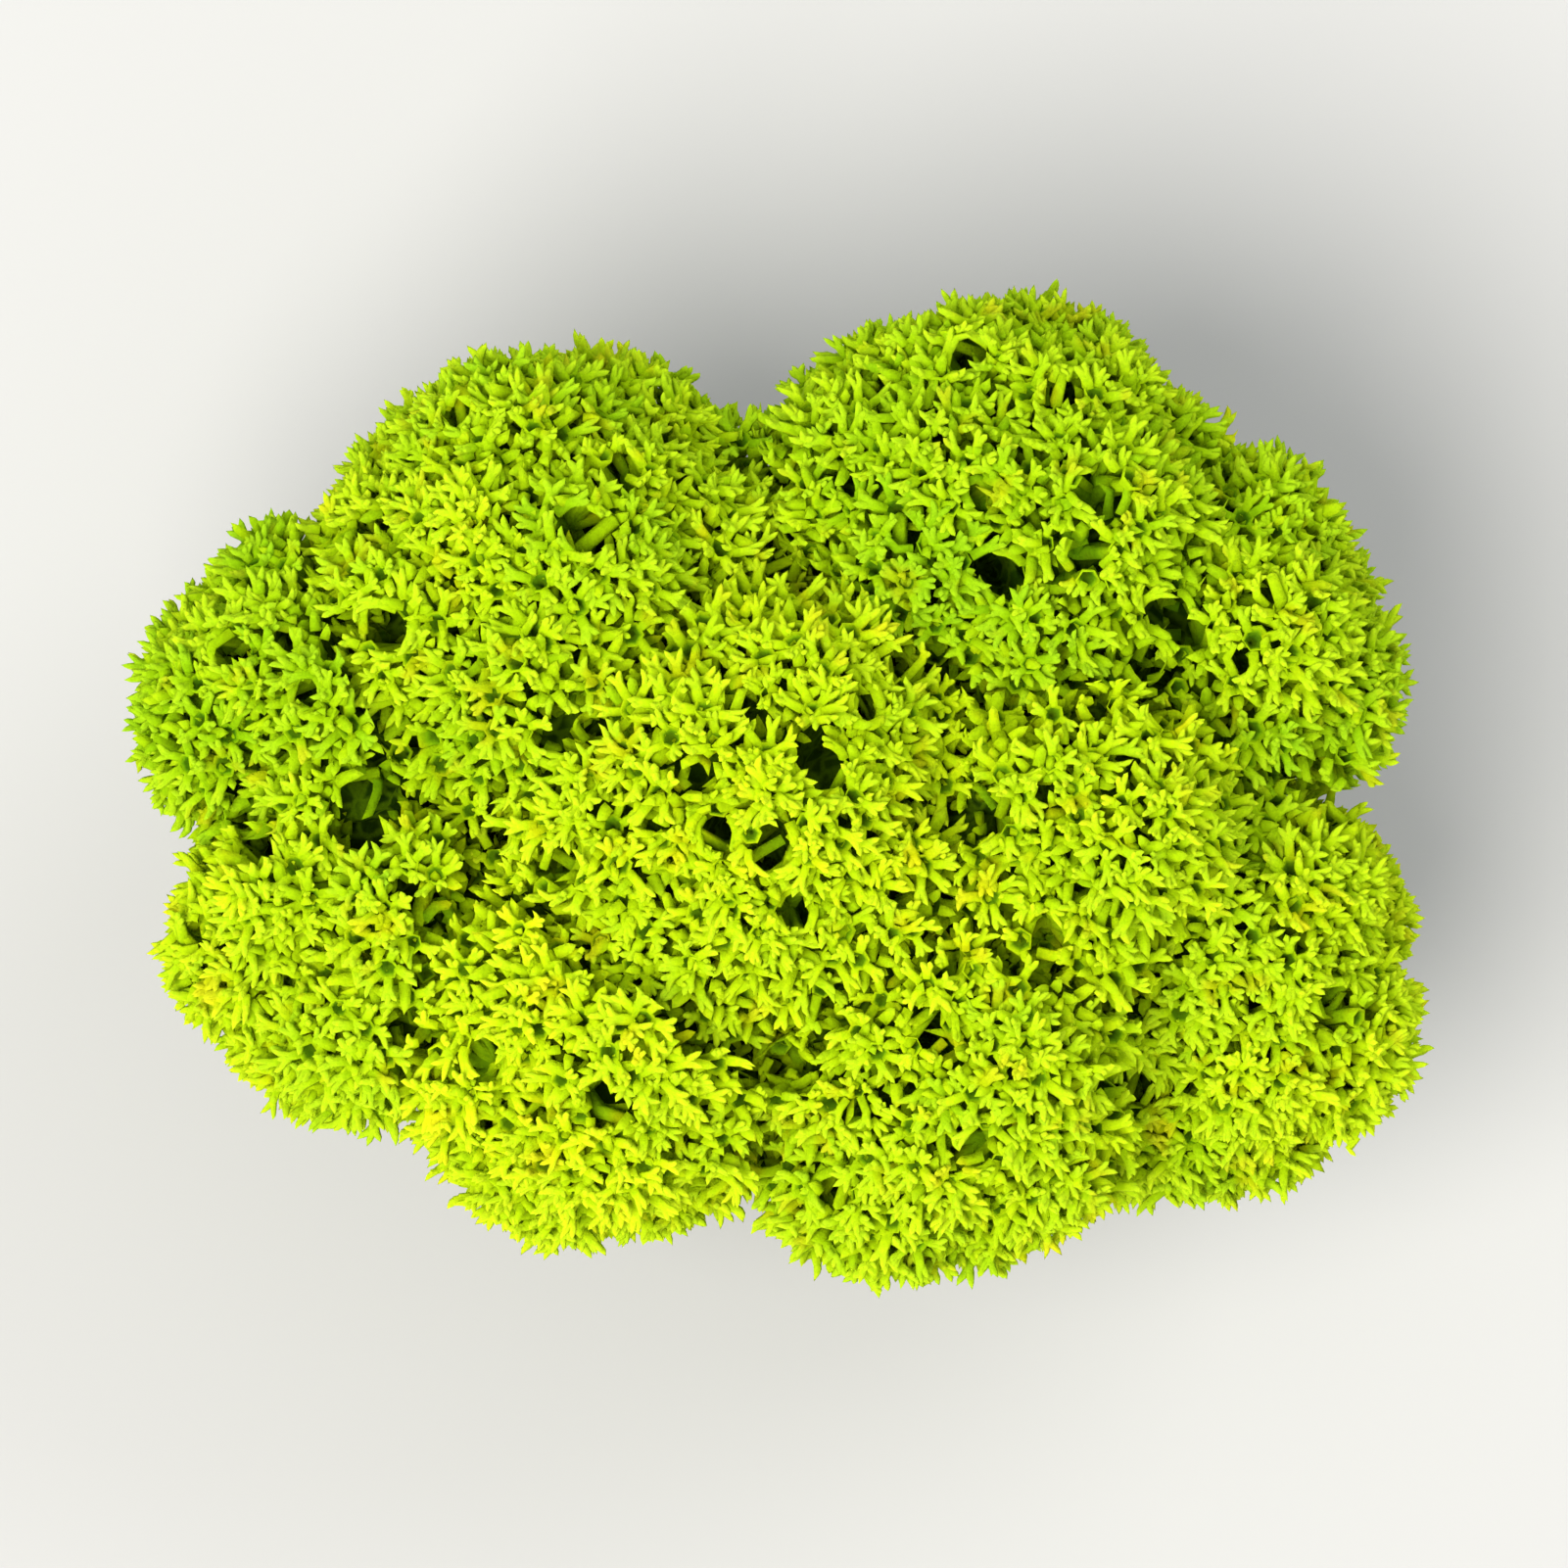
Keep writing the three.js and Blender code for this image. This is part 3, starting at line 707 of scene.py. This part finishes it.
def grow(tuft):
    """Makes the whole tuft, from the places of its whorls down to its feet."""
    random = tuft.random
    parting = tuft.on_axis(LIMBS_PART)
    place_pits(tuft)
    sites = whorl_sites(tuft, OUTER_SPACING, OUTER_DEPTH, 0.0, CREASE_SHARE)
    end, axis, lobe = sites.end, sites.axis, sites.lobe
    tint_of_lobe = random.normal(0, 0.16, lobe.max() + 1)

    # whorls to forks, within each lobe
    fork = np.zeros(len(end), int)
    made = 0
    for index in np.unique(lobe):
        mine = np.nonzero(lobe == index)[0]
        group = grouped(end[mine], round(len(mine) / WHORLS_PER_FORK), random)
        fork[mine] = group + made
        made += group.max() + 1
    fork_end = means(end, fork)
    fork_way = unit(means(axis, fork))
    rim = np.linalg.norm(end - fork_end[fork], axis=1)
    end = end - axis * (0.45 * np.minimum(rim / 1.6, 1.4) ** 2)[:, None]
    fork_lobe = np.zeros(made, int)
    fork_lobe[fork] = lobe
    goal = tuft.centre + (parting - tuft.centre) * 0.5
    fork_at = towards(fork_end, goal, random.uniform(2.3, 3.2, (made, 1)), 0.3)
    fork_at += random.normal(0, 0.2, (made, 3))

    # forks to the lobes' branches, to limbs, to the tops of the strands
    used, fork_lobe = np.unique(fork_lobe, return_inverse=True)
    branch_end = means(fork_at, fork_lobe)
    branch_at = towards(branch_end, goal + (parting - goal) * 0.3, 3.4, 0.4)
    limb = grouped(branch_at, round(len(branch_at) / LOBES_PER_LIMB), random)
    limb_end = means(branch_at, limb)
    limb_at = parting + (limb_end - parting) * 0.55
    top = grouped(limb_at, max(2, round(len(limb_at) / 2.6)), random)
    top_end = means(limb_at, top)
    top_at = parting + (top_end - parting) * 0.4

    ways_top = unit(top_end - parting)
    ways_limb = unit(limb_end - top_at[top])
    ways_branch = unit(branch_end - limb_at[limb])
    ways_fork = unit(unit(fork_end - branch_at[fork_lobe]) + 0.6 * fork_way)

    tint_branch = tuft.tint + tint_of_lobe[used]
    tint_fork = tint_branch[fork_lobe]
    tint = tint_fork[fork] + random.normal(0, 0.14, len(end))

    size = random.uniform(0.84, 1.18, len(end))
    # painted shade: whorls are darker in the creases, where lobes meet and where they face down
    bright = 1 - 0.35 * np.clip((1 - sites.share) / 0.3, 0, 1)  # darker in the creases
    bright -= 0.12 * np.clip(1 - sites.ridge / 0.6, 0, 1)  # and where lobes meet
    bright *= np.where(sites.low, 0.85, 1.0)
    plainer = sites.low | (sites.share < PLAIN_BELOW_SHARE)
    for group, sides, forked in ((~plainer, 6, True), (plainer, 4, False)):
        add_cups(tuft, fork_at[fork][group], ways_fork[fork][group], end[group], axis[group],
                 size[group], bright[group], tint[group], sides)
        add_whorls(tuft, end[group], axis[group], size[group], bright[group], tint[group], forked)

    # branches, limbs and the stems below them
    add_stalks(tuft, branch_at[fork_lobe], ways_branch[fork_lobe], fork_at, ways_fork,
               BRANCH, tint_fork)
    paths = [add_stalks(tuft, limb_at[limb], ways_limb[limb], branch_at, ways_branch,
                        LIMB, tint_branch),
             add_stalks(tuft, top_at[top], ways_top[top], limb_at, ways_limb,
                        STEM, np.full(len(limb_at), tuft.tint))]
    # two strands to each top, and thinner ones to some of the limbs
    twice = np.repeat(np.arange(len(top_at)), 2)
    others = random.choice(len(limb_end), EXTRA_STRANDS)
    paths.append(add_strands(tuft, top_at[twice], ways_top[twice], THICK_STRAND, THICK_SPREAD, 0.0))
    paths.append(add_strands(tuft, limb_end[others], ways_limb[others],
                             THIN_STRAND, THIN_SPREAD, TORN_SHARE))
    add_twigs(tuft, paths)
    add_lower_whorls(tuft, fork_at, ways_fork)
    add_core(tuft)


def make_piece(tuft, material):
    """Turns the tuft's triangles into one piece that replaces its solid."""
    points, triangles, shade, tint = (np.concatenate(column) for column in zip(*tuft.parts))
    points = tuft.kept_inside(points)
    points[:, 2] = np.maximum(points[:, 2], 0)
    points = (points - OUTLINE_CENTRE) * MM
    mesh = bpy.data.meshes.new("lichen_" + tuft.name)
    mesh.vertices.add(len(points))
    mesh.vertices.foreach_set("co", points.astype(np.float32).ravel())
    mesh.loops.add(3 * len(triangles))
    mesh.loops.foreach_set("vertex_index", triangles.astype(np.int32).ravel())
    mesh.polygons.add(len(triangles))
    mesh.polygons.foreach_set("loop_start", np.arange(0, 3 * len(triangles), 3, dtype=np.int32))
    mesh.polygons.foreach_set("use_smooth", np.ones(len(triangles), bool))
    mesh.update(calc_edges=True)
    mesh.validate()
    for name, values in (("shade", shade), ("tint", tint)):
        layer = mesh.attributes.new(name, "FLOAT", "POINT")
        layer.data.foreach_set("value", values.astype(np.float32))
    mesh.materials.append(material)
    piece = bpy.data.objects.new("lichen_" + tuft.name, mesh)
    bpy.context.scene.collection.objects.link(piece)
    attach(piece, "root")
    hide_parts(tuft.name)


# ---------------------------------------------------------------- materials
# Scales of the textures, per metre
GRAIN_SCALE, PATCH_SCALE, DRY_SCALE, NET_SCALE = 5600, 190, 620, 1150


def linear(red, green, blue):
    def one(value):
        value /= 255
        return value / 12.92 if value <= 0.04045 else ((value + 0.055) / 1.055) ** 2.4
    return (one(red), one(green), one(blue), 1.0)


def add_node(tree, kind, values=(), **settings):
    """A new node, with its settings and the constant values of its inputs."""
    made = tree.nodes.new(kind)
    for key, value in settings.items():
        setattr(made, key, value)
    for key, value in dict(values).items():
        made.inputs[key].default_value = value
    return made


def add_ramp(tree, source, stops):
    """A colour ramp driven by the source."""
    ramp = add_node(tree, "ShaderNodeValToRGB")
    elements = ramp.color_ramp.elements
    while len(elements) < len(stops):
        elements.new(0.5)
    for element, (at, colour) in zip(elements, stops):
        element.position, element.color = at, colour
    tree.links.new(source, ramp.inputs["Fac"])
    return ramp.outputs["Color"]


def add_range(tree, source, from_min, from_max, to_min, to_max):
    """A change of scale, held within its two ends."""
    made = add_node(tree, "ShaderNodeMapRange", {"From Min": from_min, "From Max": from_max,
                                                 "To Min": to_min, "To Max": to_max})
    tree.links.new(source, made.inputs["Value"])
    return made.outputs["Result"]


def add_mix(tree, first, second, factor, blend="MIX"):
    """A mix of two colours. Factor and second may each be a constant or an output."""
    made = add_node(tree, "ShaderNodeMix", data_type="RGBA", blend_type=blend)
    tree.links.new(first, made.inputs["A"])
    for key, value in (("B", second), ("Factor", factor)):
        if isinstance(value, bpy.types.NodeSocket):
            tree.links.new(value, made.inputs[key])
        else:
            made.inputs[key].default_value = value
    return made.outputs["Result"]


def lichen_material():
    """Dyed lichen: shade runs from the dark inside (0) to the tips (1), tint from green to yellow.
    The dark low end of shade is painted shade of the inside.
    """
    material = bpy.data.materials.new("dyed_lichen")
    material.use_nodes = True
    tree = material.node_tree
    link = tree.links.new
    shader = tree.nodes["Principled BSDF"]
    shader.inputs["Roughness"].default_value = 0.95
    shader.inputs["Diffuse Roughness"].default_value = 1.0
    shader.inputs["Specular IOR Level"].default_value = 0.06

    shade = add_node(tree, "ShaderNodeAttribute", attribute_name="shade").outputs["Fac"]
    tint = add_node(tree, "ShaderNodeAttribute", attribute_name="tint").outputs["Fac"]
    place = add_node(tree, "ShaderNodeTexCoord").outputs["Object"]
    grain = add_node(tree, "ShaderNodeTexNoise",
                     {"Scale": GRAIN_SCALE, "Detail": 4, "Roughness": 0.7})
    patch = add_node(tree, "ShaderNodeTexNoise", {"Scale": PATCH_SCALE, "Detail": 2})
    dry = add_node(tree, "ShaderNodeTexNoise", {"Scale": DRY_SCALE, "Detail": 1})
    net = add_node(tree, "ShaderNodeTexVoronoi", {"Scale": NET_SCALE}, feature="DISTANCE_TO_EDGE")
    for texture in (grain, patch, dry, net):
        link(place, texture.inputs["Vector"])

    # painted shade: low values of shade darken the inside, the pits and the holes as shade would
    colour = add_ramp(tree, shade, [
        (0.0, linear(33, 56, 2)), (0.14, linear(72, 112, 4)), (0.34, linear(116, 158, 4)),
        (0.55, linear(152, 184, 2)), (0.8, linear(175, 207, 8)), (1.0, linear(191, 219, 27)),
    ])

    # deeper green or more yellow, from tuft to tuft and in patches
    warm = add_node(tree, "ShaderNodeMath", {1: 1.2, 2: -0.6}, operation="MULTIPLY_ADD")
    link(patch.outputs["Fac"], warm.inputs[0])
    lean = add_node(tree, "ShaderNodeMath", operation="ADD")
    link(tint, lean.inputs[0])
    link(warm.outputs[0], lean.inputs[1])
    tone = add_ramp(tree, add_range(tree, lean.outputs[0], -0.9, 0.9, 0.0, 1.0), [
        (0.0, (0.62, 0.80, 0.75, 1)), (0.5, (0.95, 0.97, 0.9, 1)), (1.0, (1.25, 1.12, 1.0, 1)),
    ])
    colour = add_mix(tree, colour, tone, 1.0, "MULTIPLY")

    # a few tips have dried to a warmer yellow
    speck = add_range(tree, dry.outputs["Fac"], 0.6, 0.72, 0.0, 0.8)
    colour = add_mix(tree, colour, (1.12, 0.84, 0.9, 1), speck, "MULTIPLY")

    # the oldest parts, near the floor, are browner and hold less dye
    height = add_node(tree, "ShaderNodeSeparateXYZ")
    link(place, height.inputs["Vector"])
    uneven = add_node(tree, "ShaderNodeMath", {1: 0.006}, operation="MULTIPLY_ADD")
    link(patch.outputs["Fac"], uneven.inputs[0])
    link(height.outputs["Z"], uneven.inputs[2])
    age = add_range(tree, uneven.outputs[0], 0.015, 0.003, 0.0, 0.75)
    colour = add_mix(tree, colour, linear(146, 134, 58), age)

    # a net of inner twigs, drawn on the darkest parts, the painted shade that shows between the
    # branches
    twigs = add_node(tree, "ShaderNodeMath", operation="MULTIPLY")
    link(add_range(tree, net.outputs["Distance"], 0.05, 0.17, 0.5, 0.0), twigs.inputs[0])
    link(add_range(tree, shade, 0.1, 0.2, 1.0, 0.0), twigs.inputs[1])
    colour = add_mix(tree, colour, linear(106, 142, 4), twigs.outputs[0])

    colour = add_mix(tree, colour, grain.outputs["Fac"], 0.45, "OVERLAY")
    link(colour, shader.inputs["Base Color"])
    bump = add_node(tree, "ShaderNodeBump", {"Strength": 1.0, "Distance": 0.0001})
    link(grain.outputs["Fac"], bump.inputs["Height"])
    link(bump.outputs["Normal"], shader.inputs["Normal"])
    return material


def floor_material():
    material = bpy.data.materials.new("pale_floor")
    material.use_nodes = True
    shader = material.node_tree.nodes["Principled BSDF"]
    shader.inputs["Base Color"].default_value = (0.5, 0.495, 0.48, 1)
    shader.inputs["Roughness"].default_value = 0.8
    shader.inputs["Specular IOR Level"].default_value = 0.2
    return material


# ---------------------------------------------------------------- clump
lichen = lichen_material()
for index, row in enumerate(TUFTS):
    tuft = Tuft(index, *row)
    grow(tuft)
    make_piece(tuft, lichen)

# ---------------------------------------------------------------- floor and light
FLOOR_HALF = 2.0  # metres
corners = [(x * FLOOR_HALF, y * FLOOR_HALF, 0) for x, y in ((-1, -1), (1, -1), (1, 1), (-1, 1))]
floor_mesh = bpy.data.meshes.new("floor")
floor_mesh.from_pydata(corners, [], [(0, 1, 2, 3)])
floor_mesh.materials.append(floor_material())
floor = bpy.data.objects.new("floor", floor_mesh)
bpy.context.scene.collection.objects.link(floor)


def area_light(name, place, size, power, colour):
    """A soft round light that points at the clump's middle."""
    data = bpy.data.lights.new(name, "AREA")
    data.shape, data.size, data.energy, data.color = "DISK", size, power, colour
    light = bpy.data.objects.new(name, data)
    light.location = place
    light.rotation_euler = (Vector((0, 0, 0.02)) - Vector(place)).to_track_quat("-Z", "Y").to_euler()
    bpy.context.scene.collection.objects.link(light)


area_light("key", place=(-0.3, -0.22, 0.72), size=0.55, power=7.9, colour=(1.0, 0.98, 0.94))
area_light("fill", place=(0.45, 0.4, 0.6), size=0.5, power=2.3, colour=(0.96, 0.98, 1.0))
world = bpy.data.worlds.new("studio")
bpy.context.scene.world = world
world.use_nodes = True
world.node_tree.nodes["Background"].inputs["Color"].default_value = (0.95, 0.97, 1.0, 1)
world.node_tree.nodes["Background"].inputs["Strength"].default_value = 0.74
bpy.context.scene.view_settings.view_transform = "Standard"
